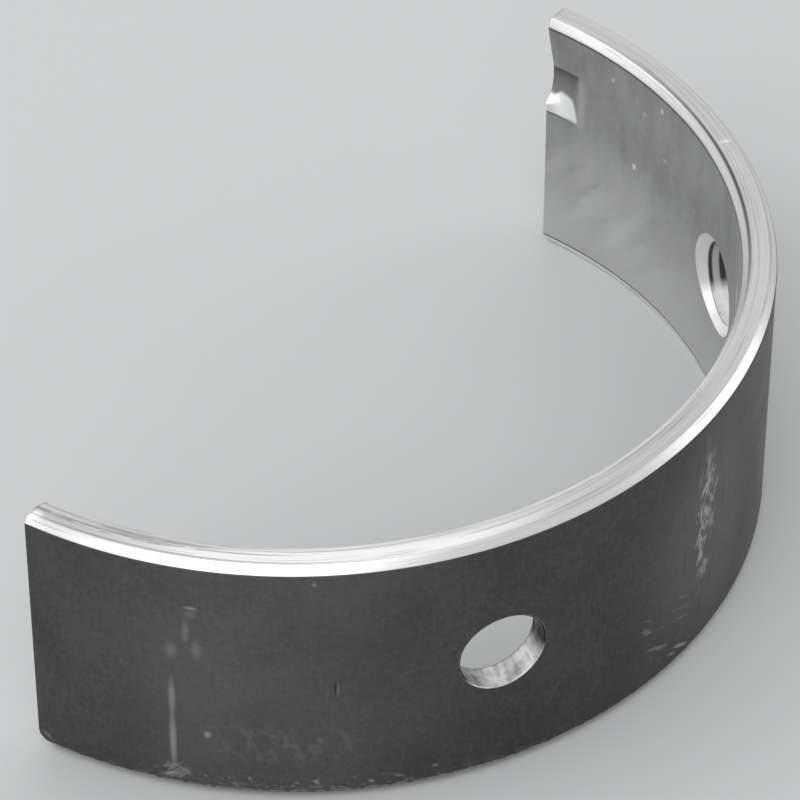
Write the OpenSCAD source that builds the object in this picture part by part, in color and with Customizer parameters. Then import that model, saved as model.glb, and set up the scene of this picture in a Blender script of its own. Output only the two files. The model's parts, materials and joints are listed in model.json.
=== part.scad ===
// Engine bearing shell: one half of a plain journal bearing, rolled from a single strip.
// It stands on its lower rim. The bore axis is Z, and the origin lies on that axis at mid width.
// The middle of the arc points along -Y, and the end with the locating lug lies towards +X.

/* [Shell] */
// Outside diameter of the free shell, over its back
shell_od = 88; // [70:0.5:120]
// Thickness of the wall
wall = 3.2; // [2.4:0.1:5]
// Width of the shell along the bore axis, rim to rim
shell_width = 28.2; // [22:0.1:50]
// Angle that the shell spans while it is not yet sprung into its housing
arc_angle = 176.5; // [168:0.5:180]

/* [Rim bevels] */
// Outer bevel, measured across the rim
outer_bevel_across = 0.75; // [0.2:0.05:1]
// Outer bevel, measured down the back
outer_bevel_down = 0.85; // [0.2:0.05:2]
// Inner bevel, measured across the rim
inner_bevel_across = 0.42; // [0.1:0.02:1]
// Inner bevel, measured down the bore
inner_bevel_down = 1.04; // [0.2:0.02:2]

/* [Oil holes] */
// Diameter of the drilled oil holes
oil_hole_d = 8.2; // [4:0.1:11]
// Width of the countersunk ring round each oil hole, on the bore side
sink_ring = 1.15; // [0.3:0.05:2]
// Depth of the countersinks below the bore
sink_depth = 0.95; // [0.3:0.05:1.5]
// Angle from the middle of the arc to the hole nearer the plain end
plain_hole_angle = 31.6; // [15:0.1:65]
// Height of that hole's axis above mid width
plain_hole_rise = 0.3; // [-3:0.1:3]
// Angle from the middle of the arc to the hole nearer the lug
lug_hole_angle = 48.4; // [15:0.1:65]
// Height of that hole's axis above mid width
lug_hole_rise = -0.3; // [-3:0.1:3]

/* [Locating lug] */
// Distance from the upper rim to the lug's upper side
lug_setback = 5.3; // [4:0.1:9]
// Width of the lug along the bore axis, at its foot
lug_width = 5.7; // [4:0.1:9]
// Length of the lug's ramp along the arc
lug_length = 3.4; // [2:0.1:8]
// Height that the lug stands proud of the back at the end face
lug_rise = 1.15; // [0.4:0.05:2]
// Lean of the lug's upper flank at the end face
lug_upper_lean = 1.05; // [0.2:0.05:1.8]
// Lean of the lug's lower flank at the end face
lug_lower_lean = 1.3; // [0.2:0.05:1.8]
// How far the wall above the lug is drawn out with it, at the end face
lug_draw = 2.3; // [0:0.1:2.6]

/* [Hidden] */
$fn = 128;

// Overlap that carries a cutting solid past the faces it cuts
past = 1;
// Shares of the lug's rise and length by which its wedge runs on below the surface and past its ends
root_share = 0.3;
run_on_share = 0.15;

outer_r = shell_od / 2;
bore_r = outer_r - wall;
rim_z = shell_width / 2;
oil_hole_r = oil_hole_d / 2;
// Polar angle of the middle of the arc
middle = 270;

// One half of the wall's section right of the axis, bevelled at both rims
module wall_section() {
    polygon([
        [bore_r + inner_bevel_across, -rim_z],
        [outer_r - outer_bevel_across, -rim_z],
        [outer_r, -rim_z + outer_bevel_down],
        [outer_r, rim_z - outer_bevel_down],
        [outer_r - outer_bevel_across, rim_z],
        [bore_r + inner_bevel_across, rim_z],
        [bore_r, rim_z - inner_bevel_down],
        [bore_r, -rim_z + inner_bevel_down]
    ]);
}

// The sector that the arc fills, bounded by the two end faces
module arc_sector() {
    reach = 2 * shell_od;
    half = arc_angle / 2;
    linear_extrude(height = shell_width + 2 * past, center = true)
        polygon([
            [0, 0],
            [reach * sin(half), -reach * cos(half)],
            [reach, -2 * reach],
            [-reach, -2 * reach],
            [-reach * sin(half), -reach * cos(half)]
        ]);
}

// A drilled oil hole along +X from the bore axis, with its countersink on the bore side
module oil_hole() {
    sink_slope = sink_ring / sink_depth;
    translate([bore_r - past, 0, 0])
        rotate([0, 90, 0])
            rotate_extrude()
                polygon([
                    [0, 0],
                    [oil_hole_r + sink_ring + past * sink_slope, 0],
                    [oil_hole_r, sink_depth + past],
                    [oil_hole_r, wall + 2 * past],
                    [0, wall + 2 * past]
                ]);
}

// The wedge by which the lug is pressed out of a surface of radius r. Here X is radial, the end
// face lies at Y = 0 with the arc behind it, and the ramp runs out on the surface at -lug_length.
module lug_wedge(r) {
    run_r = sqrt(r * r - lug_length * lug_length);
    upper_z = rim_z - lug_setback;
    lower_z = upper_z - lug_width;
    upper_flank = [-lug_rise, 0, lug_draw + lug_upper_lean] * root_share;
    lower_flank = [-lug_rise, 0, -lug_lower_lean] * root_share;
    // Run-out corners on the surface, and the crest's corners at the end face
    upper_run = [run_r, -lug_length, upper_z];
    lower_run = [run_r, -lug_length, lower_z];
    upper_crest = [r + lug_rise, 0, upper_z - lug_upper_lean];
    lower_crest = [r + lug_rise, 0, lower_z + lug_lower_lean];
    upper_foot = [r, 0, upper_z + lug_draw] + upper_flank;
    lower_foot = [r, 0, lower_z] + lower_flank;
    // Carries a corner on from another, past it along the edge that joins them
    function beyond(corner, from) = corner + (corner - from) * run_on_share;
    polyhedron(
        points = [
            beyond(upper_run, upper_crest),
            beyond(lower_run, lower_crest),
            beyond(lower_run + lower_flank, lower_foot),
            beyond(upper_run + upper_flank, upper_foot),
            beyond(upper_crest, upper_run),
            beyond(lower_crest, lower_run),
            beyond(lower_foot, lower_run + lower_flank),
            beyond(upper_foot, upper_run + upper_flank)
        ],
        faces = [
            [0, 1, 2, 3],
            [7, 6, 5, 4],
            [4, 5, 1, 0],
            [5, 6, 2, 1],
            [6, 7, 3, 2],
            [7, 4, 0, 3]
        ]
    );
}

// Turns its children to the end face that has the lug
module at_lug_end() {
    rotate([0, 0, middle + arc_angle / 2])
        children();
}

module bearing_shell() {
    color([0.42, 0.43, 0.44])
        intersection() {
            union() {
                difference() {
                    rotate_extrude()
                        wall_section();
                    translate([0, 0, plain_hole_rise])
                        rotate([0, 0, middle - plain_hole_angle])
                            oil_hole();
                    translate([0, 0, lug_hole_rise])
                        rotate([0, 0, middle + lug_hole_angle])
                            oil_hole();
                    at_lug_end()
                        lug_wedge(bore_r);
                }
                at_lug_end()
                    lug_wedge(outer_r);
            }
            arc_sector();
        }
}

bearing_shell();
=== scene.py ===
# %% [markdown]
# An engine bearing shell is half of a plain bearing: a strip of steel with a thin lining, rolled to an
# arc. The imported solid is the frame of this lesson. Every size below is read from its mounts, or is
# written as a real size in millimetres, so the finished mesh lies where the solid lies.

# %% Load the frame
import json

import bpy
import numpy as np
from mathutils import Matrix, Vector


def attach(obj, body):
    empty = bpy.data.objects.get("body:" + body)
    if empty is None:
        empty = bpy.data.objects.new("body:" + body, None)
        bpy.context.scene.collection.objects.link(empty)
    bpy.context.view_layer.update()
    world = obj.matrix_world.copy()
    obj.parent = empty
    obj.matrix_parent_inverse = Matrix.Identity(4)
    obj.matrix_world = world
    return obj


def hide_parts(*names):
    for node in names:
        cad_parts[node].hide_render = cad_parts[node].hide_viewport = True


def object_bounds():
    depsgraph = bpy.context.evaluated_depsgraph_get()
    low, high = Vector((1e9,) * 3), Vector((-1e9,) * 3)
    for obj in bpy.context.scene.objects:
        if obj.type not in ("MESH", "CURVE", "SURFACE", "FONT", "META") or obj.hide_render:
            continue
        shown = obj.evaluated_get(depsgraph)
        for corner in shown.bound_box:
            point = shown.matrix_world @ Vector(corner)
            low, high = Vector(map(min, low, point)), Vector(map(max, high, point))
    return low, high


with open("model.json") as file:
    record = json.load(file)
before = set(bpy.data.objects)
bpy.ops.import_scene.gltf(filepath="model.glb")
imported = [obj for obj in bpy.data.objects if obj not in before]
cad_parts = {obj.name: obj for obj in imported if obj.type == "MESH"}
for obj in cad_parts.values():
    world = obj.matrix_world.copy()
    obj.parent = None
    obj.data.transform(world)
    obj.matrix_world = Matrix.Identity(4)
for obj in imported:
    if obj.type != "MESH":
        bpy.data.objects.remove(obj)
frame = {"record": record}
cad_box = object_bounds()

print("solid box", [tuple(round(c, 5) for c in corner) for corner in cad_box])

# %% [markdown]
# The mounts of the solid say where the bore, the holes, the ends and the rims are. Reading them here
# means that the mesh follows the solid, and no size is measured twice.

# %% Sizes from the frame
MM = 0.001
mounts = {m["name"]: m for m in frame["record"]["mounts"]}
bore_r = mounts["journal_bore"]["dims"]["r_mm"]
bore_half = mounts["journal_bore"]["dims"]["length_mm"] / 2
outer_r = -mounts["housing_seat"]["pos_m"][1] / MM
rim_z = -mounts["lower_rim"]["pos_m"][2] / MM
wall = outer_r - bore_r
mid_r = (outer_r + bore_r) / 2
end_tilt = np.arcsin(mounts["lug_end_face"]["axis"][0])
plain_end = np.pi + end_tilt
arc_length = mid_r * (np.pi - 2 * end_tilt)
print(f"bore {2 * bore_r:.2f}, wall {wall:.2f}, width {2 * rim_z:.2f}, arc {arc_length:.1f} mm")

# %% [markdown]
# The wall's section is a flat bar with a bevel on each of its four edges. A turned edge is never
# sharp, and the thin bright line that it throws tells the eye that the part is metal. A bevel modifier
# could round the corners, but a section with its own rounded corners keeps every row of the mesh in
# hand, so rows can be placed where the lug and the holes need them.

# %% Points along a rounded section
OUTER_BEVEL = (0.75, 0.85)
INNER_BEVEL = (0.42, rim_z - bore_half)
EDGE_ROUND = 0.1
SUPPORT = 0.05


def rounded_chain(corners, cuts, corner_steps=3):
    """Points along straight lines whose corners are rounded.

    A corner becomes the curve (1-t)^2 A + 2t(1-t) C + t^2 B, where C is the sharp corner, and A and B
    lie one rounding before and after it. Each line is cut at its given fractions, and once more close
    to each rounded corner, which keeps the shading of the line flat up to there.
    Returns the points, an edge value that is 1 on the corners, and the number of the line of each step.
    """
    corners = np.asarray(corners, float)
    t = np.linspace(0, 1, corner_steps + 1)[1:, None]
    points, edge, line = [corners[:1]], [np.zeros(1)], []
    start, last = corners[0], len(corners) - 2
    for k, fractions in enumerate(cuts):
        unit = corners[k + 1] - corners[k]
        unit /= np.linalg.norm(unit)
        stop = corners[k + 1] - (EDGE_ROUND * unit if k < last else 0)
        length = np.linalg.norm(stop - start)
        inner = fractions[(fractions > SUPPORT / length) & (fractions < 1 - SUPPORT / length)]
        near = [SUPPORT / length] if k else []
        far = [1 - SUPPORT / length] if k < last else []
        places = np.concatenate([near, inner, far, [1]])[:, None]
        points.append(start + places * (stop - start))
        edge.append((places[:, 0] == 1) * (1.0 if k < last else 0))
        line += [k] * len(places)
        if k < last:
            after = corners[k + 2] - corners[k + 1]
            start = corners[k + 1] + EDGE_ROUND * after / np.linalg.norm(after)
            points.append((1 - t) ** 2 * stop + 2 * t * (1 - t) * corners[k + 1] + t**2 * start)
            edge.append(np.ones(len(t)))
            line += [k + 0.5] * len(t)
    return np.concatenate(points), np.concatenate(edge), np.array(line)


# %% [markdown]
# The section is drawn as two halves, one along the back and one along the bore, which meet in the
# middle of each rim. Both halves have the same number of rows, so a row of the back lies opposite a
# row of the bore. The rows lie closer together in the upper part, where the lug is pressed. The lines
# of the section are numbered, so that finishes and marks can name the bevel or face that they lie on.

# %% Half a section for the back and half for the bore
OUTER_LOW, BACK_FACE, OUTER_HIGH = 1, 2, 3
BORE_LINES = 10
INNER_LOW, BORE_FACE, INNER_HIGH = BORE_LINES + 1, BORE_LINES + 2, BORE_LINES + 3
FLAT_STEPS, BEVEL_STEPS = 3, 3
CRISP_REACH = 0.2
LOW_ROWS, LUG_ROWS, LUG_ROWS_FROM = 30, 72, 0.58
flat_mid = (bore_r + INNER_BEVEL[0] + outer_r - OUTER_BEVEL[0]) / 2
rows = np.concatenate([
    np.linspace(0, LUG_ROWS_FROM, LOW_ROWS + 1),
    np.linspace(LUG_ROWS_FROM, 1, LUG_ROWS + 1)[1:],
])
flat_cuts = np.linspace(0, 1, FLAT_STEPS + 1)[1:-1]
bevel_cuts = np.linspace(0, 1, BEVEL_STEPS + 1)[1:-1]
section_cuts = [flat_cuts, bevel_cuts, rows[1:-1], bevel_cuts, flat_cuts]


def half_section(face_r, flat_r, down):
    """One side of the section from the middle of the lower rim to the middle of the upper rim."""
    corners = [(flat_mid, -rim_z), (flat_r, -rim_z), (face_r, down - rim_z)]
    return rounded_chain(corners + [(r, -z) for r, z in corners[::-1]], section_cuts)


back_points, back_edge, back_line = half_section(outer_r, outer_r - OUTER_BEVEL[0], OUTER_BEVEL[1])
bore_points, bore_edge, bore_line = half_section(bore_r, bore_r + INNER_BEVEL[0], INNER_BEVEL[1])
side_count = len(back_points)
loop_count = 2 * side_count - 2
section = np.concatenate([back_points, bore_points[-2:0:-1]])
section_edge = np.concatenate([back_edge, bore_edge[-2:0:-1]])
section_line = np.concatenate([back_line, bore_line[::-1] + BORE_LINES])
crisp = (section[:, 0] > outer_r - CRISP_REACH) & (section[:, 1] > 0)
section_edge[crisp] = 0
steps = np.linalg.norm(np.roll(section, -1, 0) - section, axis=1)
running = np.concatenate([[0], np.cumsum(steps)])
back_side = back_points[:, 1], running[:side_count]
bore_side = bore_points[:, 1], running[loop_count - np.arange(side_count)]
tangent = np.roll(section, -1, 0) - np.roll(section, 1, 0)
tangent /= np.linalg.norm(tangent, axis=1)[:, None]
section_normal = np.stack([tangent[:, 1], -tangent[:, 0]], 1)
print(f"section of {loop_count} points, {running[-1]:.1f} mm round")

# %% [markdown]
# The section is carried round the arc as columns. They lie close together over the lug, which is a
# small form, and the outermost few draw the section in a little, so that the end faces have rounded
# edges as well.

# %% Columns along the arc
COLUMN_STEP, LUG_COLUMN_STEP, LUG_ZONE = 0.48, 0.14, 5.2
END_ROUND = 0.12
QUARTER_TURN = np.radians([0, 30, 60, 90])
end_along = END_ROUND * (1 - np.cos(QUARTER_TURN))
end_inset = END_ROUND * (1 - np.sin(QUARTER_TURN))
plain_stretch = np.arange(END_ROUND, arc_length - LUG_ZONE, COLUMN_STEP)[1:]
lug_steps = int(LUG_ZONE / LUG_COLUMN_STEP)
lug_stretch = np.linspace(arc_length - LUG_ZONE, arc_length - END_ROUND, lug_steps)[:-1]
along = np.concatenate([end_along, plain_stretch, lug_stretch, arc_length - end_along[::-1]])
inset = np.zeros(len(along))
end_count = len(QUARTER_TURN)
inset[:end_count], inset[-end_count:] = end_inset, end_inset[::-1]
theta = plain_end + along / mid_r
print(f"{len(along)} columns, {np.diff(along).max():.2f} mm apart at most")

# %% [markdown]
# The locating lug is pressed out of the wall by a punch, deepest at the end face. The wall above it is
# drawn out with it. Below, the punch leaves a bright scoop that rises from the pocket to the bore, and
# turns a small nose into the bore at the end face. Back and bore move together, because the sheet keeps
# its thickness. Three sloping faces and a rounded minimum of them give the form with a few sizes.

# %% The locating lug as a height over the wall
LUG_RISE, LUG_LENGTH = 1.13, 4.0
LUG_FOOT, LUG_DRAW, LUG_LEAN = 0.35, 3.9, 4.96
LUG_CREST, LUG_FALL = 6.9, 0.2
SCOOP_EDGE, SCOOP_STEEP, SCOOP_EASE = 10.15, 0.6, 1.75
NOSE_RISE, NOSE_TOP, NOSE_SLOPE = 0.22, 8.05, 1.35
NOSE_AT, NOSE_WIDE, NOSE_LONG = 9.35, 0.75, 1.0
UPPER_ROUND, FLOOR_ROUND, SCOOP_ROUND, CREASE_ROUND = 0.15, 0.05, 0.03, 0.06


def raised(height, width):
    """A height that never falls below 0: max(height, 0), with the foot rounded over the width."""
    near = np.maximum(width - np.abs(height), 0) / width
    return np.maximum(height, 0) + near**2 * width / 4


def rounded_min(a, b, width):
    """The lesser of two heights above 0, with their crease rounded over the width, or less near 0."""
    width = np.clip(a + b, 1e-6, width)
    near = np.maximum(width - np.abs(a - b), 0) / width
    return np.minimum(a, b) - near**2 * width / 4


def lug_faces(s, h):
    """Heights of the three faces at s from the end face and h below the inner bevel.

    floor = rise (1 - s/length), less a fall below the crest that eases off along the arc;
    upper = rise (h - foot - draw s/length) / lean;
    scoop = steep exp(-s/ease) (edge - h).
    """
    share = s / LUG_LENGTH
    fall = LUG_FALL * np.maximum(h - LUG_CREST, 0) * np.maximum(1 - share, 0) ** 2
    floor = LUG_RISE * (1 - share) - fall
    upper = LUG_RISE * (h - LUG_FOOT - LUG_DRAW * share) / LUG_LEAN
    scoop = SCOOP_STEEP * np.exp(-s / SCOOP_EASE) * (SCOOP_EDGE - h)
    return floor, upper, scoop


def lug_height(s, h):
    """How far the wall is pushed out: the rounded minimum of the three faces, never below the wall."""
    floor, upper, scoop = lug_faces(s, h)
    pressed = rounded_min(raised(upper, UPPER_ROUND), raised(floor, FLOOR_ROUND), CREASE_ROUND)
    return rounded_min(pressed, raised(scoop, SCOOP_ROUND), CREASE_ROUND) * (h > 0)


def nose_height(s, h, pressed):
    """How far the nose fills the pocket and stands over the bore, a share of (pressed + lip).

    The lip is a bell curve in h with a flat top, and the share fades along the arc as a bell curve in s.
    """
    lip = NOSE_RISE * np.exp(-(((h - NOSE_AT) / NOSE_WIDE) ** 4))
    t = np.clip((h - NOSE_TOP) / NOSE_SLOPE, 0, 1)
    return np.exp(-((s / NOSE_LONG) ** 2)) * t**2 * (3 - 2 * t) * (pressed + lip)


# %% [markdown]
# The sweep turns section and columns into one grid of points, given as radius, angle and height. The
# ends of a real shell are deburred by hand: their lower corners are round, and one inner corner of the
# plain end is filed off. The end columns are set back along the arc by that much, and the setback
# fades out over a few millimetres, so the end faces stay plain.

# %% Sweep the section
CORNER_FADE = 5.0
PLAIN_CORNERS, LUG_CORNERS = (1.1, 0.4), (0.3, 0.3)
FILED, FILED_ACROSS, FILED_DOWN, FILED_CURVE = 0.55, 1.0, 4.0, 1.5


def corner_setback(z, low, high):
    """How far an end face stands back at a height, so that its corners are arcs of two radii.

    The lower arc ends where the outer bevel starts, because that is the corner that the eye sees.
    """
    into_low = np.clip(low - (z + rim_z - OUTER_BEVEL[1]), 0, low)
    into_high = np.clip(high - (rim_z - z), 0, high)
    return low - np.sqrt(low**2 - into_low**2) + high - np.sqrt(high**2 - into_high**2)


def plain_setback(r, z):
    """Setback of the plain end: rounded corners, and more where its upper inner corner is filed off."""
    share = np.clip(1 - (r - bore_r - INNER_BEVEL[0]) / FILED_ACROSS, 0, 1)
    filed = FILED * share**FILED_CURVE * np.clip(1 - (rim_z - z) / FILED_DOWN, 0, 1)
    return corner_setback(z, *PLAIN_CORNERS) + filed


grid_r = section[None, :, 0] - inset[:, None] * section_normal[None, :, 0]
grid_z = section[None, :, 1] - inset[:, None] * section_normal[None, :, 1]
from_plain = along[:, None]
from_lug = arc_length - from_plain
plain_shift = plain_setback(grid_r, grid_z) * np.clip(1 - from_plain / CORNER_FADE, 0, 1)
lug_shift = corner_setback(grid_z, *LUG_CORNERS) * np.clip(1 - from_lug / CORNER_FADE, 0, 1)
grid_along = from_plain + plain_shift - lug_shift
grid_theta = plain_end + grid_along / mid_r
to_end = np.broadcast_to(from_lug, grid_z.shape)
depth_down = bore_half - grid_z
lug = lug_height(to_end, depth_down)
on_bore = np.arange(loop_count) >= side_count
nose = nose_height(to_end, depth_down, lug) * on_bore[None, :]
grid_r = grid_r + lug - nose
grid_ids = np.arange(grid_r.size).reshape(grid_r.shape)
print(f"lug stands {lug.max():.2f} mm proud over {np.count_nonzero(lug > 0.01)} points")

# %% [markdown]
# The punch leaves its scoop bright, and the bore is rubbed light beside the pocket. Shade is painted
# into the pocket, darkest under its crease, and a painted dark line of shade runs under the scoop.
# They could be painted by hand, but the faces of the lug already tell where each of them lies: it is the
# place where one face lies under the others. A narrow ramp round that place keeps its border smooth.

# %% Masks for the lug's finish
SCOOP_BELOW, NOSE_BRIGHT = 0.75, 0.15
SHADE_LEAST, SHADE_FADE = 0.35, 0.9
SEAM_BELOW, SEAM_WIDE, SEAM_SHADE = 0.14, 0.12, 0.8
RUB_PAST, RUB_WIDE, RUB_AT, RUB_HIGH = 0.45, 0.5, 7.6, 3.2
floor_face, upper_face, scoop_face = lug_faces(to_end, depth_down)


def border(height, width):
    """A share that runs from 0 to 1 as a height passes 0, over the width."""
    return np.clip(height / width + 0.5, 0, 1)


in_scoop = border(floor_face - scoop_face, 0.08) * border(scoop_face, 0.04)
in_scoop = in_scoop * border(LUG_LENGTH - to_end, 0.2)
in_scoop = in_scoop * border(depth_down - LUG_CREST - SCOOP_BELOW, 0.4) * on_bore[None, :]
in_scoop = np.maximum(in_scoop, border(nose - NOSE_BRIGHT, 0.15))
in_pocket = border(upper_face - floor_face, 0.05) * border(floor_face, 0.04) * (1 - in_scoop)
in_pocket = in_pocket * border(SCOOP_EDGE - depth_down, 0.2)
crease = LUG_FOOT + LUG_LEAN + (LUG_DRAW - LUG_LEAN) * to_end / LUG_LENGTH
# Painted shade: the pocket is darkest just under its crease and lighter further down.
past_crease = np.exp(-np.maximum(depth_down - crease, 0) / SHADE_FADE)
pocket_shade = in_pocket * (SHADE_LEAST + (1 - SHADE_LEAST) * past_crease)
# Painted shade: a thin dark line under the scoop's lower edge.
from_seam = (depth_down - SCOOP_EDGE - SEAM_BELOW) / SEAM_WIDE
pocket_shade = np.maximum(pocket_shade, SEAM_SHADE * np.exp(-(from_seam**2)) * (to_end < LUG_LENGTH))
rub_along = (to_end - LUG_LENGTH - RUB_PAST) / RUB_WIDE
rub_down = (depth_down - RUB_AT) / RUB_HIGH
rubbed = np.exp(-(rub_along**2) - rub_down**4)
print(f"{np.count_nonzero(in_scoop > 0.5)} points in the scoop, {np.count_nonzero(pocket_shade > 0.5)} in grime")

# %% [markdown]
# The oil holes are drilled through the wall and countersunk from the bore. A boolean cut would leave
# long thin triangles, so a block of squares is left out of the grid round each hole instead, and rings
# of points lead from the block's border on the back, through the hole, to the border on the bore. The
# countersink has the width and depth that the photograph shows, a little less than the solid's.

# %% Rings through an oil hole
SINK_RING, SINK_DEPTH = 0.78, 0.6
HOLE_EDGE = 0.12
BLOCK_MARGIN = 2.4
WALL_SHARES = [0.03, 0.2, 0.4, 0.6, 0.8, 0.97, 1]
CONE_SHARES = [0.04, 0.25, 0.5, 0.75, 0.96, 1]
CONE_RING = len(QUARTER_TURN) + len(WALL_SHARES) - 1
BLOCK_RINGS, BLOCK_EASE, RING_AT_EDGE = 5, 1.7, 0.985
MEETING_ROUNDS = 8


def hole_sizes(name):
    """Angle, height and radius of a hole, from its mount."""
    m = mounts[name]
    angle = np.arctan2(m["axis"][1], m["axis"][0]) % (2 * np.pi)
    return angle, m["pos_m"][2] / MM, m["dims"]["r_mm"]


def blend(a, b, shares):
    """Rows of points between two rows, at the given shares of the way."""
    return np.array(shares)[:, None] * (b - a)[None] + a[None]


def hole_rings(hole, back_border, bore_border):
    """Rings (radius, angle, height) through a hole, in three parts: back, hole and bore.

    A point of the hole lies rho from its axis, at turn psi, and far along the axis: its radius from
    the bore axis is the root of far^2 + (rho cos psi)^2. The cone meets the bore where
    far^2 + (rho cos psi)^2 = bore radius^2, found by a few rounds of putting rho and far in each other.
    """
    angle, height, radius = hole
    psi = np.arctan2(back_border[2] - height, outer_r * (back_border[1] - angle))

    def at(rho, far):
        side = rho * np.cos(psi)
        return np.stack([np.hypot(far, side), angle + np.arctan2(side, far), height + rho * np.sin(psi)])

    def on_wall(face_r, rho):
        return np.sqrt(face_r**2 - (rho * np.cos(psi)) ** 2)

    turn = QUARTER_TURN[:, None]
    edge_rho = radius + HOLE_EDGE * (1 - np.sin(turn))
    edge_far = on_wall(outer_r, edge_rho) - HOLE_EDGE * (1 - np.cos(turn))
    cone_foot = np.full_like(psi, bore_r + SINK_DEPTH)
    wall_far = blend(edge_far[-1], cone_foot, WALL_SHARES)
    rim_rho = np.full_like(psi, radius + SINK_RING)
    for _ in range(MEETING_ROUNDS):
        rim_far = on_wall(bore_r, rim_rho)
        rim_rho = radius + (bore_r + SINK_DEPTH - rim_far) * SINK_RING / SINK_DEPTH
    cone_far = blend(wall_far[-1], rim_far, CONE_SHARES)
    cone_rho = blend(np.full_like(psi, radius), rim_rho, CONE_SHARES)
    far = np.concatenate([edge_far, wall_far, cone_far])
    edge_rho = np.broadcast_to(edge_rho, edge_far.shape)
    rho = np.concatenate([edge_rho, np.full_like(wall_far, radius), cone_rho])
    hole_part = np.stack([at(p, f) for p, f in zip(rho, far)])
    ease = 1 - (1 - np.linspace(0, 1, BLOCK_RINGS + 2)[1:-1]) ** BLOCK_EASE
    shares = np.concatenate([ease, [RING_AT_EDGE]])
    back_part = np.stack([back_border + s * (hole_part[0] - back_border) for s in shares])
    bore_part = np.stack([bore_border + s * (hole_part[-1] - bore_border) for s in shares[::-1]])
    depth = np.concatenate([[0], np.cumsum(np.hypot(np.diff(rho, axis=0), np.diff(far, axis=0)).mean(1))])
    return back_part, hole_part, bore_part, psi * radius, depth


# %% [markdown]
# The shell is gathered from patches of squares: the swept grid without the two blocks, the rings of
# each hole and the two end faces. The patches share their border points by number, so the mesh is
# closed from the start. Each square keeps its place on a map of the unrolled shell, in millimetres.

# %% Squares of a grid
def squares(ids, u, v):
    """Corner numbers and map places of the squares of a grid of vertex numbers, rows first."""
    u, v = np.broadcast_to(u, ids.shape), np.broadcast_to(v, ids.shape)

    def corners(g):
        return np.stack([g[:-1, :-1], g[1:, :-1], g[1:, 1:], g[:-1, 1:]], -1)

    return corners(ids), np.stack([corners(u), corners(v)], -1)


def border_of(block, g):
    """The border of a block of columns and rows, counter-clockwise, its first point repeated."""
    (i0, i1), (j0, j1) = block
    part = g[i0 : i1 + 1][:, j0 : j1 + 1]
    return np.concatenate([part[:, 0], part[-1, 1:], part[-2::-1, -1], part[0, -2::-1]])


# %% [markdown]
# The lists below collect the points, and for each square its corners, its place on the map and its
# finish. The swept grid comes first, and holes and end faces add to it.

# %% Gather the patches of the shell
BACK, MACHINED, LINING, DRILLED = range(4)
points = [np.stack([grid_r, grid_theta, grid_z], -1).reshape(-1, 3)]
edges = [np.broadcast_to(section_edge, grid_r.shape).ravel()]
# The pocket value is the painted shade of the pocket, less the rubbed band beside it.
pockets = [(pocket_shade - rubbed).ravel()]
scoops = [in_scoop.ravel()]
faces, maps, finishes = [], [], []
wrapped = np.concatenate([grid_ids, grid_ids[:, :1]], 1)
corner_ids, corner_map = squares(wrapped, along[:, None], running[None, :])
finish = np.full(section_line.shape, MACHINED)
finish[(section_line >= OUTER_LOW - 0.5) & (section_line <= BACK_FACE + 0.5)] = BACK
finish[np.abs(section_line - BORE_FACE) <= 0.5] = LINING
finish = np.broadcast_to(finish, corner_ids.shape[:2])
open_square = np.zeros(corner_ids.shape[:2], bool)
bore_column = (loop_count - np.arange(side_count)) % loop_count


def add_patch(ids, u, v, finish_number):
    """Adds the squares of one patch, all with one finish."""
    f, m = squares(ids, u, v)
    faces.append(f.reshape(-1, 4))
    maps.append(m.reshape(-1, 4, 2))
    finishes.append(np.full(f.shape[0] * f.shape[1], finish_number))


def add_points(p, edge_value):
    """Adds points (radius, angle, height) and returns their vertex numbers."""
    flat_points = p.reshape(-1, 3)
    numbers = sum(map(len, points)) + np.arange(len(flat_points))
    points.append(flat_points)
    edges.append(np.broadcast_to(edge_value, p.shape[:-1]).ravel())
    pockets.append(np.zeros(len(flat_points)))
    scoops.append(np.zeros(len(flat_points)))
    return numbers.reshape(p.shape[:-1])


def along_arc(angle):
    """The distance from the plain end to an angle, along the middle of the wall."""
    return (angle - plain_end) * mid_r


def on_map(ids, side):
    """Places of vertices on the developed map, from their angle, and from their height on one side."""
    p = np.concatenate(points)[ids]
    return along_arc(p[..., 1]), np.interp(p[..., 2], *side)


# %% [markdown]
# Each hole takes its block out of the grid. The border of the block, read once on the back and once on
# the bore, gives the first and the last ring, and the rings between them come from the hole's mount.

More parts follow.
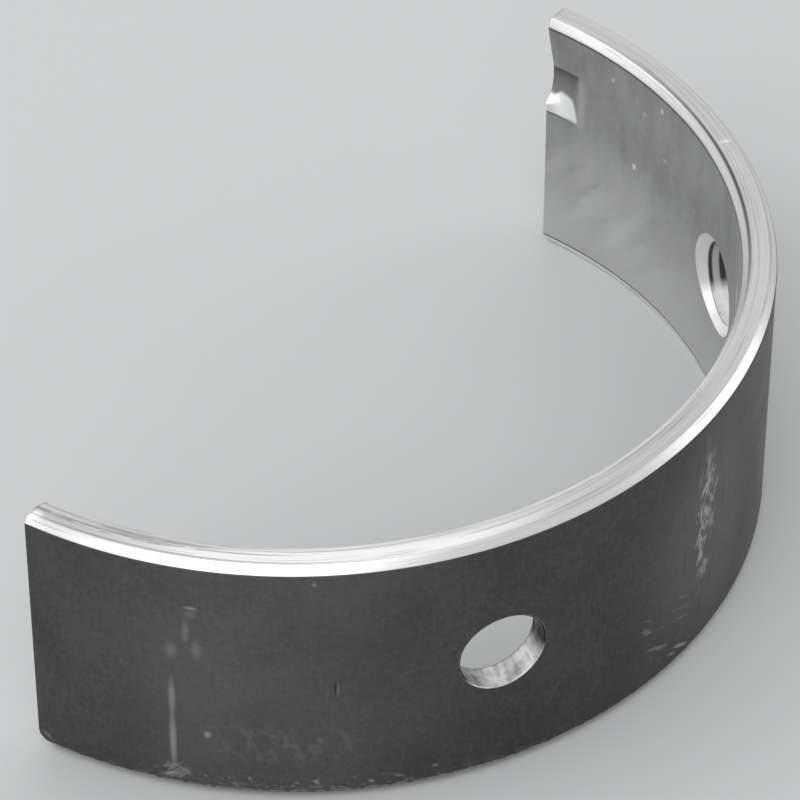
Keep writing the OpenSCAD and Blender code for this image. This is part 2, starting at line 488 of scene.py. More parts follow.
# %% Oil holes in the grid
for hole_number, name in enumerate(("plain_oil_hole", "lug_oil_hole")):
    hole = hole_sizes(name)
    hole_angle, hole_z, hole_r = hole
    reach = hole_r + SINK_RING + BLOCK_MARGIN
    cols = np.searchsorted(theta, [hole_angle - reach / mid_r, hole_angle + reach / mid_r])
    z_rows = np.searchsorted(back_points[:, 1], [hole_z - reach, hole_z + reach])
    block = tuple(cols), tuple(z_rows)
    back_ids = border_of(block, grid_ids[:, :side_count])
    bore_ids = border_of(block, grid_ids[:, bore_column])
    back_border, bore_border = points[0][back_ids].T, points[0][bore_ids].T
    back_part, hole_part, bore_part, turned, depth = hole_rings(hole, back_border, bore_border)
    turned = np.unwrap(turned / hole_r) * hole_r
    sharp_rings = [*range(len(QUARTER_TURN)), CONE_RING, len(hole_part) - 1]
    edge_ring = np.isin(np.arange(len(hole_part)), sharp_rings) * 1.0
    new = [add_points(np.moveaxis(part, 1, 2)[:, :-1], e) for part, e in
           ((back_part, 0.0), (hole_part, edge_ring[:, None]), (bore_part, 0.0))]
    back_rings, hole_ring_ids, bore_rings = [np.concatenate([n, n[:, :1]], 1) for n in new]
    back_rings = np.concatenate([back_ids[None], back_rings, hole_ring_ids[:1]])
    bore_rings = np.concatenate([hole_ring_ids[-1:], bore_rings, bore_ids[None]])
    for ids, side, number in ((back_rings, back_side, BACK), (bore_rings, bore_side, LINING)):
        u, v = on_map(ids, side)
        add_patch(ids.T, u.T, v.T, number)
    add_patch(hole_ring_ids.T, turned[:, None], depth[None, :], DRILLED + hole_number)
    cone_from = depth[CONE_RING]
    (i0, i1), (j0, j1) = block
    open_square[i0:i1, j0:j1] = True
    open_square[i0:i1, loop_count - j1 : loop_count - j0] = True
    print(f"{name}: {len(back_ids) - 1} points round, {len(hole_part)} rings")

# %% [markdown]
# Each end face is the grid between the back's half of the end section and the bore's half. Its first
# and last row are the points of the rims, so nothing has to be merged afterwards.

# %% End faces
flat_count = int(np.argmax(back_edge > 0))
across = np.concatenate([back_points[flat_count::-1, 0], bore_points[1 : flat_count + 1, 0]])
across_share = (across - across[0]) / (across[-1] - across[0])
for column, flip in ((0, False), (len(along) - 1, True)):
    ring = grid_ids[column]
    back_ids, bore_ids = ring[:side_count], ring[bore_column]
    inner_rows = slice(flat_count + 1, side_count - flat_count - 1)
    a, b = points[0][back_ids[inner_rows]], points[0][bore_ids[inner_rows]]
    between = a[:, None] + across_share[None, 1:-1, None] * (b - a)[:, None]
    if column == 0:
        between[..., 1] = plain_end + plain_setback(between[..., 0], between[..., 2]) / mid_r
    filled = add_points(between, 0.0)
    middle_rows = np.concatenate([back_ids[inner_rows, None], filled, bore_ids[inner_rows, None]], 1)
    low = np.concatenate([back_ids[flat_count::-1], bore_ids[1 : flat_count + 1]])
    high = np.concatenate([back_ids[-1 - flat_count :], bore_ids[-2 : -2 - flat_count : -1]])
    cap = np.concatenate([low[None], middle_rows, high[None]])
    cap_points = np.concatenate(points)[cap]
    u, v = cap_points[..., 0], cap_points[..., 2]
    add_patch(*[g[:, ::-1] if flip else g for g in (cap, u, v)], MACHINED)

keep = ~open_square
faces.append(corner_ids[keep])
maps.append(corner_map[keep])
finishes.append(finish[keep])
print(f"{sum(map(len, points))} vertices, {sum(map(len, faces))} squares")

# %% [markdown]
# Radius, angle and height become places in space, and the mesh is filled in one go. The finishes need
# three values at each point: how near it is to a turned edge, whether it lies in the painted shade of the
# pocket or the rubbed band beside it, and whether it lies in the bright scoop.

# %% Put the shell into a mesh
polar = np.concatenate(points)
flat = polar[:, :1] * np.stack([np.cos(polar[:, 1]), np.sin(polar[:, 1])], 1)
xyz = np.concatenate([flat, polar[:, 2:]], 1) * MM
xyz = np.clip(xyz, np.array(cad_box[0]), np.array(cad_box[1]))
mesh = bpy.data.meshes.new("bearing_shell_finish")
mesh.from_pydata(xyz, [], np.concatenate(faces))
mesh.uv_layers.new(name="developed").data.foreach_set("uv", np.concatenate(maps).ravel())
mesh.polygons.foreach_set("material_index", np.concatenate(finishes))
mesh.polygons.foreach_set("use_smooth", np.ones(len(mesh.polygons), bool))
for label, values in (("edge", edges), ("pocket", pockets), ("scoop", scoops)):
    mesh.attributes.new(label, "FLOAT", "POINT").data.foreach_set("value", np.concatenate(values))
mesh.update()
shell = bpy.data.objects.new("bearing_shell_finish", mesh)
bpy.context.scene.collection.objects.link(shell)
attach(shell, "root")
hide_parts("bearing_shell")
print(f"shell of {2 * len(mesh.polygons)} triangles, mesh problems {mesh.validate()}")

# %% [markdown]
# Four kinds of finish meet on the shell: dark steel on the back, bright turned rims, the grey lining of
# the bore, and the drilled walls of the holes. They share a few effects, which are node groups: streaks
# left by a tool, clouds of tone, wear along edges, and patches of scuffs. A group is built once and
# gets its own values in each finish. The streaks and patches read the developed map, whose first
# coordinate runs along the arc and whose second runs round the section, both in millimetres.

# %% Helpers for nodes
def feed(tree, socket, value):
    """Gives an input socket a value, or links it from another socket."""
    if isinstance(value, bpy.types.NodeSocket):
        tree.links.new(value, socket)
    else:
        socket.default_value = value


def add_node(tree, kind, inputs=None, **settings):
    """A shader node with its settings; an input is a value, or a socket to link from."""
    node = tree.nodes.new("ShaderNode" + kind)
    for key, value in settings.items():
        setattr(node, key, value)
    for key, value in (inputs or {}).items():
        feed(tree, node.inputs[key], value)
    return node


def calc(tree, operation, a, b=0.0, c=0.0):
    """The output of one Math node, from up to three values or sockets."""
    return add_node(tree, "Math", {0: a, 1: b, 2: c}, operation=operation).outputs[0]


def remap(tree, value, from_low, from_high, to_low=0.0, to_high=1.0):
    """A value carried smoothly from one range to another."""
    inputs = {"Value": value, "From Min": from_low, "From Max": from_high}
    inputs.update({"To Min": to_low, "To Max": to_high})
    return add_node(tree, "MapRange", inputs, interpolation_type="SMOOTHSTEP").outputs["Result"]


def new_group(name, inputs, outputs):
    """An empty node group with named sockets; returns it with its input and output nodes."""
    group = bpy.data.node_groups.new(name, "ShaderNodeTree")
    for label, kind in inputs:
        group.interface.new_socket(name=label, in_out="INPUT", socket_type="NodeSocket" + kind)
    for label in outputs:
        group.interface.new_socket(name=label, in_out="OUTPUT", socket_type="NodeSocketFloat")
    return group, group.nodes.new("NodeGroupInput"), group.nodes.new("NodeGroupOutput")


def use_group(tree, group, **inputs):
    """A node that places a group in a material; socket names are given with _ for a space."""
    node = tree.nodes.new("ShaderNodeGroup")
    node.node_tree = group
    for key, value in inputs.items():
        feed(tree, node.inputs[key.replace("_", " ")], value)
    return node.outputs


# %% [markdown]
# Five effects are shared. Streaks are noise stretched by its own scale along each direction of the map.
# Clouds are soft noise of a given size. Wear breaks up the value of an edge. A soft mark is an oval that
# can be turned. A scuff patch is such an oval filled with flecks, which can lean.

# %% Shared effects
streak_inputs = [("Place", "Vector"), ("Per mm", "Vector")]
streaks, start_of, end_of = new_group("tool_streaks", streak_inputs, ["Streak"])
scaled_by = {0: start_of.outputs["Place"], 1: start_of.outputs["Per mm"]}
stretched = add_node(streaks, "VectorMath", scaled_by, operation="MULTIPLY")
noise = add_node(streaks, "TexNoise", {"Vector": stretched.outputs[0], "Scale": 1.0, "Detail": 4.0})
streaks.links.new(noise.outputs["Fac"], end_of.inputs["Streak"])

cloud_inputs = [("Place", "Vector"), ("Size mm", "Float")]
clouds, start_of, end_of = new_group("tone_clouds", cloud_inputs, ["Cloud"])
per_metre = calc(clouds, "DIVIDE", 1000.0, start_of.outputs["Size mm"])
cloudy = {"Vector": start_of.outputs["Place"], "Scale": per_metre, "Detail": 3.0, "Distortion": 0.6}
noise = add_node(clouds, "TexNoise", cloudy)
clouds.links.new(noise.outputs["Fac"], end_of.inputs["Cloud"])

wear_inputs = [("Place", "Vector"), ("Edge", "Float"), ("Gap", "Float")]
wear, start_of, end_of = new_group("edge_wear", wear_inputs, ["Worn"])
noise = add_node(wear, "TexNoise", {"Vector": start_of.outputs["Place"], "Scale": 1.3, "Detail": 5.0})
broken = calc(wear, "SUBTRACT", noise.outputs["Fac"], start_of.outputs["Gap"])
ragged = calc(wear, "MULTIPLY", start_of.outputs["Edge"], remap(wear, broken, 0.0, 0.12))
wear.links.new(ragged, end_of.inputs["Worn"])

oval_inputs = [("Place", "Vector"), ("Centre", "Vector"), ("Reach", "Vector"), ("Turn", "Float")]


def oval(group, start_of):
    """The distance from an oval's centre, which is 1 at its rim, and the place in the oval's own turn."""
    given = start_of.outputs
    offset = add_node(group, "VectorMath", {0: given["Place"], 1: given["Centre"]}, operation="SUBTRACT")
    turning = {"Vector": offset.outputs[0], "Angle": given["Turn"]}
    turned = add_node(group, "VectorRotate", turning, rotation_type="Z_AXIS").outputs[0]
    scaled = add_node(group, "VectorMath", {0: turned, 1: given["Reach"]}, operation="DIVIDE")
    length = add_node(group, "VectorMath", {0: scaled.outputs[0]}, operation="LENGTH")
    return length.outputs["Value"], turned


soft, start_of, end_of = new_group("soft_mark", oval_inputs, ["Mark"])
far_out, _ = oval(soft, start_of)
soft.links.new(remap(soft, far_out, 1.0, 0.1), end_of.inputs["Mark"])

scuff_inputs = oval_inputs + [("Lean", "Float"), ("Per mm", "Vector"), ("Gap", "Float")]
scuffs, start_of, end_of = new_group("scuff_patch", scuff_inputs, ["Scuff"])
far_out, turned_place = oval(scuffs, start_of)
turning = {"Vector": turned_place, "Angle": start_of.outputs["Lean"]}
leaning = add_node(scuffs, "VectorRotate", turning, rotation_type="Z_AXIS")
flecks = add_node(
    scuffs, "VectorMath",
    {0: leaning.outputs[0], 1: start_of.outputs["Per mm"], 2: start_of.outputs["Centre"]},
    operation="MULTIPLY_ADD",
)
noise = add_node(scuffs, "TexNoise", {"Vector": flecks.outputs[0], "Scale": 1.0, "Detail": 3.0})
level = calc(scuffs, "SUBTRACT", noise.outputs["Fac"], start_of.outputs["Gap"])
marked = calc(scuffs, "MULTIPLY", remap(scuffs, far_out, 1.0, 0.4), remap(scuffs, level, 0.0, 0.1))
scuffs.links.new(marked, end_of.inputs["Scuff"])
print("effects", [g.name for g in (streaks, clouds, wear, soft, scuffs)])


# %% [markdown]
# Every finish starts in the same way, with a Principled shader that reads the map and the solid's own
# coordinates. Tones are greys that are laid over one another: each mark takes the colour so far and
# brings in its own grey by a factor. Marks are placed by angle and height on the shell.

# %% A finish and its inputs
NOISE_RANGE = (0.3, 0.7)


def new_finish(name, metallic):
    """A material with its shader, the developed map, object coordinates and the edge values."""
    material = bpy.data.materials.new(name)
    material.use_nodes = True
    tree = material.node_tree
    shader = tree.nodes["Principled BSDF"]
    shader.inputs["Metallic"].default_value = metallic
    mesh.materials.append(material)
    place = add_node(tree, "UVMap", uv_map="developed").outputs["UV"]
    solid = add_node(tree, "TexCoord").outputs["Object"]
    edge = add_node(tree, "Attribute", attribute_name="edge").outputs["Fac"]
    return tree, shader, place, solid, edge


def tone(tree, factor, low, high):
    """A colour between two greys, from a factor of 0 to 1; a grey is a value or a colour socket."""
    def as_colour(grey):
        return grey if isinstance(grey, bpy.types.NodeSocket) else (grey, grey, grey, 1)

    mix = add_node(tree, "Mix", data_type="RGBA")
    for key, value in (("Factor_Float", factor), ("A_Color", as_colour(low)), ("B_Color", as_colour(high))):
        feed(tree, next(s for s in mix.inputs if s.identifier == key), value)
    return next(s for s in mix.outputs if s.identifier == "Result_Color")


def dress(tree, shader, colour, rough, height, depth):
    """Links colour and roughness to the shader, and a height in millimetres through a bump."""
    tree.links.new(colour, shader.inputs["Base Color"])
    tree.links.new(rough, shader.inputs["Roughness"])
    bump = add_node(tree, "Bump", {"Height": height, "Distance": depth * MM, "Strength": 1.0})
    tree.links.new(bump.outputs["Normal"], shader.inputs["Normal"])


def on_back(degrees, z):
    """The place on the developed map of a point of the back, from its angle and height."""
    return (along_arc(np.radians(degrees)), np.interp(z, *back_side), 0)


def on_lining(degrees, z):
    """The place on the developed map of a point of the bore, from its angle and height."""
    return (along_arc(np.radians(degrees)), np.interp(z, *bore_side), 0)


def on_rim(degrees, inwards):
    """The place on the developed map of a point of the upper rim, by its distance from the rim's middle."""
    return (along_arc(np.radians(degrees)), running[side_count - 1] + inwards, 0)


def on_line(line):
    """The place on the developed map of the middle of one line of the section, by its number."""
    return (arc_length / 2, running[:-1][section_line == line].mean(), 0)


def lay_marks(tree, place, colour, grey, marks):
    """Lays soft marks of one grey over a colour; a mark is its centre, reach, turn and amount."""
    for centre, reach, turn_by, amount in marks:
        mark = use_group(tree, soft, Place=place, Centre=centre, Reach=(*reach, 1), Turn=turn_by)["Mark"]
        colour = tone(tree, calc(tree, "MULTIPLY", mark, amount), colour, grey)
    return colour


def lay_scuffs(tree, place, colour, grey, patches):
    """Lays scuff patches of one grey over a colour.

    A patch is its centre, its reach, the lean of its flecks, flecks per mm, gap between them and amount.
    """
    for centre, reach, lean, per_mm, gap, amount in patches:
        patch = use_group(
            tree, scuffs, Place=place, Centre=centre, Reach=(*reach, 1), Turn=0.0, Lean=lean,
            Per_mm=(*per_mm, 0), Gap=gap,
        )["Scuff"]
        colour = tone(tree, calc(tree, "MULTIPLY", patch, amount), colour, grey)
    return colour


# %% [markdown]
# The back is bare rolled steel, dark and dull, with a faint upright grain. Handling has left a scuffed
# patch, a long upright scratch and small bright nicks along the lower edge. Each is a patch of flecks
# in its own place, so that the rest of the back stays quiet. A broad painted highlight lies on the left
# half of the back. The bevel at the foot is painted dark as shade where it faces the floor, and is dull.

# %% Dark steel of the back
BACK_DARK, BACK_LIGHT, BACK_BRIGHT, BACK_GRIME_AND_SHADE = 0.066, 0.1, 0.48, 0.015
BACK_ROUGH, BACK_GRAIN_MM = (0.4, 0.5), 0.004
FOOT_SHADE, FOOT_DULL = (on_line(OUTER_LOW), (300, 0.75)), 0.5
tree, shader, place, solid, edge = new_finish("back_steel", 1.0)
grain = use_group(tree, streaks, Place=place, Per_mm=(3.0, 0.4, 0))["Streak"]
speckle = use_group(tree, clouds, Place=solid, Size_mm=0.5)["Cloud"]
cloud = use_group(tree, clouds, Place=solid, Size_mm=9.0)["Cloud"]
mottle = calc(tree, "ADD", calc(tree, "ADD", calc(tree, "MULTIPLY", grain, 0.5), cloud), speckle)
colour = tone(tree, remap(tree, mottle, 0.9, 1.6), BACK_DARK, BACK_LIGHT)
colour = lay_scuffs(tree, place, colour, BACK_BRIGHT, [
    (on_back(272, 0.0), (9.0, 17.0), 0.0, (1.5, 0.1), 0.3, 0.12),
    (on_back(270.2, 1.6), (1.9, 10.5), 0.4, (1.6, 0.4), 0.51, 0.9),
    (on_back(270.7, 0.4), (1.6, 9.0), -0.35, (1.6, 0.45), 0.53, 0.8),
    (on_back(271.8, 4.5), (1.3, 6.0), 0.5, (1.3, 0.4), 0.53, 0.7),
    (on_back(199.6, -11.9), (1.7, 1.4), 0.9, (3.2, 0.9), 0.45, 0.45),
    (on_back(216.0, -13.0), (30.0, 0.7), 0.3, (1.1, 1.6), 0.5, 0.2),
    (on_back(212.5, -12.1), (15.0, 0.8), 0.4, (1.1, 1.4), 0.56, 0.5),
    (on_back(212.5, -7.4), (9.0, 3.4), 1.2, (0.5, 0.9), 0.5, 0.1),
    (on_back(262.6, -7.2), (4.5, 5.0), 2.06, (1.8, 0.3), 0.57, 0.4),
])
colour = lay_marks(tree, place, colour, BACK_BRIGHT, [
    # Painted highlight: the first mark is a broad soft sheen on the left half of the back.
    (on_back(209, -3.0), (25.0, 60.0), 0.0, 0.11),
    (on_back(203, -1.0), (7.0, 14.0), 0.0, 0.05),
    (on_back(261.5, -2.0), (5.5, 16.0), 0.0, 0.05),
    (on_back(218.7, -0.5), (0.2, 1.1), 0.0, 0.25),
    (on_back(216.2, 12.35), (0.3, 0.3), 0.0, 0.5),
    (on_back(222.5, -12.4), (0.45, 0.3), 0.3, 0.6),
    (on_back(230.1, -11.7), (0.5, 0.25), 0.3, 0.5),
    (on_back(183.0, -12.4), (0.8, 0.5), 0.6, 0.35),
    (on_back(199.5, -2.6), (0.45, 3.4), 0.0, 0.5),
    (on_back(199.45, -8.0), (0.45, 5.0), 0.0, 0.7),
    (on_back(202.1, 8.7), (0.9, 0.3), 0.0, 0.5),
    (on_back(202.1, 8.0), (0.8, 0.9), 0.0, 0.2),
    (on_back(201.4, 5.8), (0.5, 2.0), 0.0, 0.25),
    (on_back(199.6, 3.2), (0.8, 1.4), 0.0, 0.25),
    (on_back(202.6, 3.7), (0.7, 1.6), 0.0, 0.22),
    (on_back(203.6, -6.7), (0.5, 0.6), 0.0, 0.7),
    (on_back(199.2, -12.3), (0.3, 1.6), 1.2, 0.6),
    (on_back(200.6, -11.6), (0.25, 1.2), 2.2, 0.4),
    (on_back(266.3, -12.0), (0.3, 1.7), 2.06, 0.9),
    (on_back(264.6, -12.1), (0.28, 0.8), 2.06, 0.5),
])
worn = use_group(tree, wear, Place=place, Edge=edge, Gap=0.4)["Worn"]
colour = tone(tree, calc(tree, "MULTIPLY", worn, 0.75), colour, BACK_BRIGHT)
# Painted shade: the bevel at the foot is darkened where it faces the floor; the second mark is a short dark
# line.
colour = lay_marks(tree, place, colour, BACK_GRIME_AND_SHADE, [
    (*FOOT_SHADE, 0.0, 1.0),
    (on_back(218.45, -0.4), (0.2, 1.3), 0.0, 0.7),
])
centre, reach = FOOT_SHADE
foot = use_group(tree, soft, Place=place, Centre=centre, Reach=(*reach, 1), Turn=0.0)["Mark"]
rough = calc(tree, "MULTIPLY_ADD", foot, FOOT_DULL, remap(tree, cloud, *NOISE_RANGE, *BACK_ROUGH))
dress(tree, shader, colour, rough, grain, BACK_GRAIN_MM)
print(f"back steel of {len(tree.nodes)} nodes")

# %% [markdown]
# The rims and bevels are turned, and the tool leaves fine rings that follow the arc. Streaks that are
# long along the arc and narrow across the section change both the tone and the height. The bevels are
# polished brighter than the flat of the rim, and a few dark lines and worn lines run along it. A bright
# streaky patch on the near part of the flat is a painted highlight.

# %% Turned steel of the rims and bevels
RIM_DARK, RIM_LIGHT, RIM_LINE, RIM_DARK_LINE, RIM_POLISH_AND_HIGHLIGHT = 0.48, 0.6, 0.2, 0.09, 0.97
RIM_ROUGH, RIM_RINGS_MM = (0.24, 0.34), 0.002
tree, shader, place, solid, _ = new_finish("machined_rim", 1.0)
fine = use_group(tree, streaks, Place=place, Per_mm=(0.05, 5.0, 0))["Streak"]
broad = use_group(tree, streaks, Place=place, Per_mm=(0.03, 1.6, 0))["Streak"]
cloud = use_group(tree, clouds, Place=solid, Size_mm=14.0)["Cloud"]
colour = tone(tree, remap(tree, calc(tree, "ADD", fine, broad), 0.75, 1.15), RIM_DARK, RIM_LIGHT)
# Painted highlight: a bright streaky patch on the near part of the rim's flat.
colour = lay_scuffs(tree, place, colour, RIM_POLISH_AND_HIGHLIGHT, [
    (on_rim(219, -0.5), (24, 1.7), 0.0, (0.05, 3.0), 0.34, 0.9),
])
colour = lay_marks(tree, place, colour, RIM_POLISH_AND_HIGHLIGHT, [
    (on_line(INNER_LOW), (400, 0.95), 0.0, 0.95),
    (on_line(INNER_HIGH), (400, 0.95), 0.0, 0.85),
    (on_line(OUTER_HIGH), (400, 0.95), 0.0, 0.55),
    (on_rim(323.5, -0.2), (0.35, 0.9), 0.0, 0.5),
    (on_rim(182.2, -0.9), (1.1, 0.7), 0.0, 0.95),
])
line = use_group(tree, streaks, Place=place, Per_mm=(0.07, 3.4, 7.0))["Streak"]
colour = tone(tree, remap(tree, line, 0.6, 0.66, 0.0, 0.4), colour, RIM_LINE)
colour = lay_scuffs(tree, place, colour, RIM_LINE, [
    (on_rim(189, -0.1), (11, 0.3), 0.0, (0.3, 2.5), 0.36, 0.65),
    (on_rim(197, 0.45), (9, 0.25), 0.0, (0.3, 2.5), 0.36, 0.5),
    (on_rim(203, 0.1), (12, 0.14), 0.0, (0.3, 2.5), 0.3, 0.5),
    (on_rim(256, 0.6), (13, 0.12), 0.0, (0.2, 2.5), 0.35, 0.45),
])
# Two dark lines along the flat of the rim, in colour only.
colour = lay_marks(tree, place, colour, RIM_DARK_LINE, [
    (on_rim(204, -0.85), (20, 0.16), 0.0, 0.5),
    (on_rim(316, 0.8), (34, 0.32), 0.0, 1.0),
])
dress(tree, shader, colour, remap(tree, cloud, *NOISE_RANGE, *RIM_ROUGH), fine, RIM_RINGS_MM)
print(f"machined rim of {len(tree.nodes)} nodes")

# %% [markdown]
# The lining is a soft bearing metal, matt and a little cloudy, with a few bright specks. It is darker
# along its edges, where it ends at the bevels. Shade is painted into the pressed pocket of the lug, and a
# painted reflection of the floor makes the bore lighter towards its foot.

# %% Grey lining of the bore
LINING_DARK, LINING_LIGHT, LINING_FOOT_REFLECTION, LINING_BRIGHT, LINING_END = 0.27, 0.39, 0.62, 0.9, 0.1
POCKET_SHADE, POCKET_RUBBED, SCOOP_BRIGHT = 0.08, 0.7, 0.92
LINING_ROUGH, LINING_GRAIN_MM = (0.4, 0.5), 0.004
tree, shader, place, solid, edge = new_finish("bore_lining", 1.0)
height = add_node(tree, "SeparateXYZ", {0: solid}).outputs["Z"]
cloud = use_group(tree, clouds, Place=solid, Size_mm=15.0)["Cloud"]
fine_cloud = use_group(tree, clouds, Place=solid, Size_mm=0.9)["Cloud"]
swirl = use_group(tree, streaks, Place=place, Per_mm=(0.35, 0.1, 0))["Streak"]
mixed = calc(tree, "ADD", calc(tree, "ADD", cloud, swirl), calc(tree, "MULTIPLY", fine_cloud, 0.4))
colour = tone(tree, remap(tree, mixed, 0.8, 1.6), LINING_DARK, LINING_LIGHT)
# Painted reflection: the bore is made lighter towards its foot, as a reflection of the bright floor.
colour = tone(tree, remap(tree, height, 0.006, -0.014), colour, LINING_FOOT_REFLECTION)
colour = lay_scuffs(tree, place, colour, LINING_BRIGHT, [
    (on_lining(345, -5.0), (18, 9), 0.74, (0.4, 0.06), 0.42, 0.13),
    (on_lining(326.5, 3.5), (2.4, 2.0), 0.0, (3.0, 3.0), 0.62, 0.5),
])
colour = lay_marks(tree, place, colour, LINING_BRIGHT, [
    (on_lining(344, -7.5), (1.8, 7.0), 0.74, 0.2),
    (on_lining(349, -5.5), (1.6, 5.0), 0.74, 0.12),
    (on_lining(346.6, 10.9), (0.35, 0.45), 0.0, 0.5),
    (on_lining(336.3, 11.6), (0.32, 0.5), 0.0, 0.7),
    (on_lining(341.8, 2.2), (0.42, 0.55), 0.0, 0.85),
    (on_lining(335.1, 6.1), (0.6, 0.3), 0.0, 0.35),
    (on_lining(340.1, 9.5), (0.35, 0.4), 0.0, 0.35),
    (on_lining(306.3, 5.8), (0.5, 3.0), 0.0, 0.5),
])
pocket = add_node(tree, "Attribute", attribute_name="pocket").outputs["Fac"]
scoop = add_node(tree, "Attribute", attribute_name="scoop").outputs["Fac"]
# Painted shade in the pocket and under the scoop; the rubbed band beside the pocket is made lighter.
colour = tone(tree, remap(tree, pocket, 0.0, 1.0, 0.0, 0.9), colour, POCKET_SHADE)
colour = tone(tree, remap(tree, pocket, 0.0, -1.0, 0.0, 0.3), colour, POCKET_RUBBED)
colour = tone(tree, scoop, colour, SCOOP_BRIGHT)
colour = tone(tree, calc(tree, "MULTIPLY", edge, 0.8), colour, LINING_END)
rough = remap(tree, cloud, *NOISE_RANGE, *LINING_ROUGH)
dress(tree, shader, colour, rough, fine_cloud, LINING_GRAIN_MM)
print(f"bore lining of {len(tree.nodes)} nodes")

# %% [markdown]
# The drill and the countersink leave walls with marks that run down the hole. On these walls the map's
# first coordinate runs round the hole and the second runs down it. Each hole has a finish of its own, in
# which light and shade are painted: a wall is painted light on one side, round a given turn, with a
# painted highlight on its outer lip, and elsewhere it is painted dark as shade, but for a lighter stripe
# at half depth and a dark seam at the cone.

# %% Drilled walls of the oil holes
HOLE_SHADE, HOLE_SEAM_SHADE, HOLE_LIP_HIGHLIGHT = 0.03, 0.12, 0.9
HOLE_ROUGH, HOLE_MARKS_MM = (0.3, 0.42), 0.008


def drilled_finish(name, metallic, lit_turn, lit_from, greys, marked_from):
    """The finish of one hole, from its metallic share and the turn at which its wall is painted light.

    The wall is painted light where the cosine of the angle from that turn is above a value, and it is
    painted dark as shade elsewhere. The greys are those of the lit wall, of the stripe, and of the cone
    where it isn't lit. The last value is the lowest share that the tool marks leave of the bright wall.
    Both holes have the same radius and depth.
    """
    bright, stripe_grey, cone_grey = greys
    tree, shader, place, _, edge = new_finish(name, metallic)
    fine = use_group(tree, streaks, Place=place, Per_mm=(2.2, 0.5, 0))["Streak"]
    broad = use_group(tree, streaks, Place=place, Per_mm=(0.6, 0.9, 0))["Streak"]
    split = add_node(tree, "SeparateXYZ", {0: place}).outputs
    turn_round = calc(tree, "MULTIPLY_ADD", split["X"], 1 / hole_r, np.radians(lit_turn))
    lit_side = remap(tree, calc(tree, "COSINE", turn_round), lit_from, lit_from + 0.4)

    def past_cone(start, stop):
        return remap(tree, split["Y"], cone_from + start, cone_from + stop)

    stripe = calc(tree, "MULTIPLY", past_cone(-1.2, -0.95), past_cone(-0.25, -0.5))
    # Painted shade: the wall away from the lit side is dark, with a lighter stripe at half depth.
    dull = tone(tree, stripe, HOLE_SHADE, stripe_grey)
    dull = tone(tree, past_cone(-0.05, 0.15), dull, cone_grey)
    marked = remap(tree, calc(tree, "ADD", fine, broad), 0.75, 1.2, marked_from, 1.0)
    colour = tone(tree, calc(tree, "MULTIPLY", lit_side, marked), dull, bright)
    # Painted shade: a dark seam where the wall meets the cone.
    seam = calc(tree, "MULTIPLY", past_cone(-0.16, -0.04), past_cone(0.06, -0.02))
    colour = tone(tree, calc(tree, "MULTIPLY", seam, 0.6), colour, HOLE_SEAM_SHADE)
    # Painted highlight on the outer lip, on the lit side only.
    lip = calc(tree, "MULTIPLY", edge, remap(tree, split["Y"], 0.4, 0.2))
    colour = tone(tree, calc(tree, "MULTIPLY", lip, calc(tree, "MULTIPLY", lit_side, 0.4)), colour, HOLE_LIP_HIGHLIGHT)
    dress(tree, shader, colour, remap(tree, broad, *NOISE_RANGE, *HOLE_ROUGH), fine, HOLE_MARKS_MM)


drilled_finish("drilled_plain_hole", 1.0, 80, 0.26, (0.66, 0.12, 0.4), 0.5)
drilled_finish("drilled_lug_hole", 0.35, 116, 0.1, (0.98, 0.46, 0.66), 0.85)
print("finishes", [m.name for m in mesh.materials])

# %% [markdown]
# The shell stands on a pale, plain floor, which is one large square at the height of the lower rim. It
# only shows the contact and the soft shadow.

# %% Floor
FLOOR_SIZE = 4.0
FLOOR_COLOUR, FLOOR_ROUGH = (0.63, 0.638, 0.645, 1), 0.9
floor_mesh = bpy.data.meshes.new("floor")
corner = np.array([(-1, -1, 0), (1, -1, 0), (1, 1, 0), (-1, 1, 0)]) * FLOOR_SIZE / 2
corner[:, 2] = -rim_z * MM
floor_mesh.from_pydata(corner, [], [(0, 1, 2, 3)])
floor = bpy.data.objects.new("floor", floor_mesh)
bpy.context.scene.collection.objects.link(floor)
floor_paint = bpy.data.materials.new("floor_paint")
floor_paint.use_nodes = True
paint = floor_paint.node_tree.nodes["Principled BSDF"]
paint.inputs["Base Color"].default_value = FLOOR_COLOUR
paint.inputs["Roughness"].default_value = FLOOR_ROUGH
floor_mesh.materials.append(floor_paint)
print(f"floor {FLOOR_SIZE} m wide at {corner[0, 2]:.4f} m")

# %% [markdown]
# Soft light comes from the world and from large panels. The turned bevels are mirrors for what stands
# around them, so each panel is placed where a bevel looks: one near the camera, one on its right, and
# one behind on the left, which also throws the soft shadow to the right. A weak one lights the rear.

# %% Light
WORLD_LEVEL = 0.72
world = bpy.data.worlds.new("studio")
world.use_nodes = True
world.node_tree.nodes["Background"].inputs["Color"].default_value = (1, 1, 1, 1)
world.node_tree.nodes["Background"].inputs["Strength"].default_value = WORLD_LEVEL
bpy.context.scene.world = world


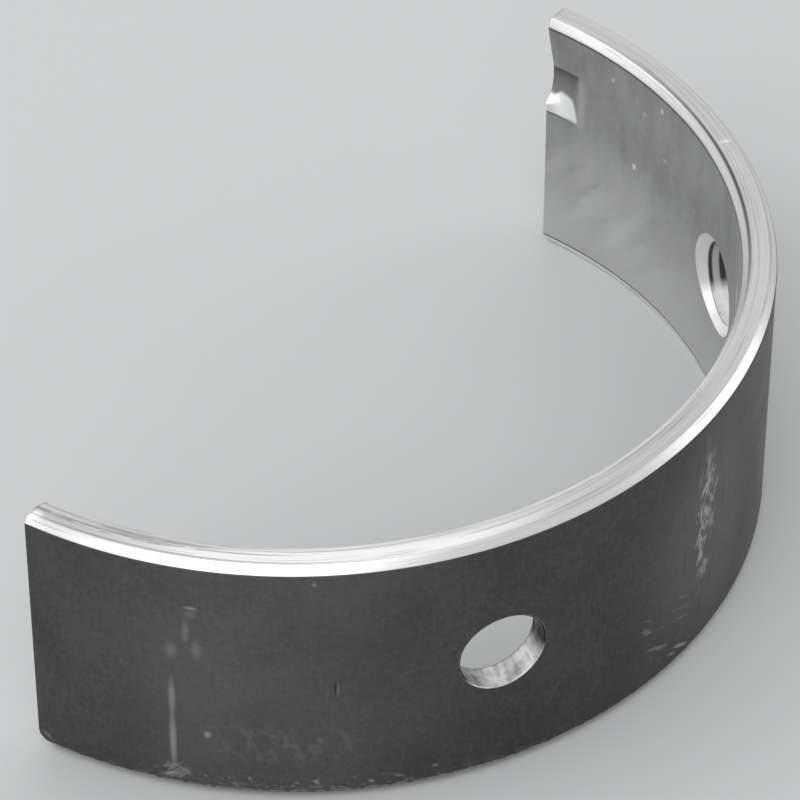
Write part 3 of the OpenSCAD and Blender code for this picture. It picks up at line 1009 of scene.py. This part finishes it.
def soft_panel(name, azimuth, elevation, distance, size, level):
    """A square panel of the given brightness that faces the shell from a compass direction.

    A panel of area A looks as bright as a white wall lit to the level when its power is pi A level.
    """
    a, e = np.radians([azimuth, elevation])
    towards = Vector((np.cos(a) * np.cos(e), np.sin(a) * np.cos(e), np.sin(e)))
    lamp = bpy.data.lights.new(name, "AREA")
    lamp.size = size
    lamp.energy = np.pi * size**2 * level
    panel = bpy.data.objects.new(name, lamp)
    panel.location = towards * distance
    panel.rotation_euler = towards.to_track_quat("Z", "Y").to_euler()
    bpy.context.scene.collection.objects.link(panel)
    print(f"{name}: {lamp.energy:.1f} W")


soft_panel("camera_panel", 197, 40, 1.2, 1.2, 0.95)
soft_panel("right_panel", 318, 18, 1.1, 0.55, 1.15)
soft_panel("left_panel", 130, 22, 1.1, 0.75, 1.4)
soft_panel("rear_panel", 34, 48, 1.2, 0.9, 0.3)

# %% [markdown]
# The camera looks at the shell from the photograph's angle. Its turn, height, lens and distance were
# fitted to the rims and edges of the shell, so that the render lies over the photograph.

# %% Camera
CAMERA_AZIMUTH, CAMERA_ELEVATION, CAMERA_ROLL = np.radians([-56.304, 41.957, 0.062])
CAMERA_LENS, CAMERA_DISTANCE = 215.24, 0.4504
CAMERA_ASIDE, CAMERA_RAISED = 0.00925, -0.00436
back_dir = Vector((
    np.sin(CAMERA_AZIMUTH) * np.cos(CAMERA_ELEVATION),
    -np.cos(CAMERA_AZIMUTH) * np.cos(CAMERA_ELEVATION),
    np.sin(CAMERA_ELEVATION),
))
right_dir = Vector((np.cos(CAMERA_AZIMUTH), np.sin(CAMERA_AZIMUTH), 0))
up_dir = back_dir.cross(right_dir)
camera = bpy.data.objects.new("camera", bpy.data.cameras.new("camera"))
camera.data.lens = CAMERA_LENS
camera.data.sensor_width = 36
camera.data.clip_start = 0.01
stand = CAMERA_ASIDE * right_dir + CAMERA_RAISED * up_dir + CAMERA_DISTANCE * back_dir
rolled_right = np.cos(CAMERA_ROLL) * right_dir + np.sin(CAMERA_ROLL) * up_dir
rolled_up = np.cos(CAMERA_ROLL) * up_dir - np.sin(CAMERA_ROLL) * right_dir
camera.matrix_world = Matrix((rolled_right, rolled_up, back_dir)).transposed().to_4x4()
camera.location = stand
bpy.context.scene.collection.objects.link(camera)
bpy.context.scene.camera = camera
print("camera at", [round(c, 4) for c in camera.location])

# %% Finish
bpy.context.scene.view_settings.view_transform = "Standard"
bpy.context.view_layer.update()
